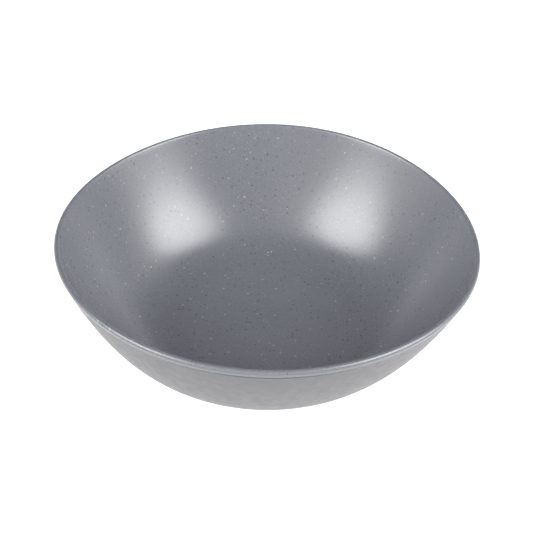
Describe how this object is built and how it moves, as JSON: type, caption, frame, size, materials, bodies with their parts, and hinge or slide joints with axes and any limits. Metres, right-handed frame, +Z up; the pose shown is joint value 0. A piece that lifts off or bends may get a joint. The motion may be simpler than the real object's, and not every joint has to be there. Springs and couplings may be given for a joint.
{
  "type": "serving bowl",
  "caption": "Wide open serving bowl with a softly uneven rim: a plain outer layer with a foot ring, lined by a speckled inner layer that wraps over the lip to a fine seam.",
  "frame": {"origin": "centre of the foot ring, on the plane that it stands on", "axes": "+Z up out of the bowl's mouth; -Y is the front, the side that faces a viewer; +X to that viewer's right"},
  "size_m": [0.2998, 0.3004, 0.093],
  "materials": {
    "plain_outer_layer": "satin moulded melamine, plain warm grey with faint moulding streaks",
    "speckled_inner_layer": "satin moulded melamine, blue grey with fine dark and pale speckles"
  },
  "bodies": {
    "root": {"outer_shell": "plain_outer_layer", "inner_shell": "speckled_inner_layer"}
  },
  "joints": []
}
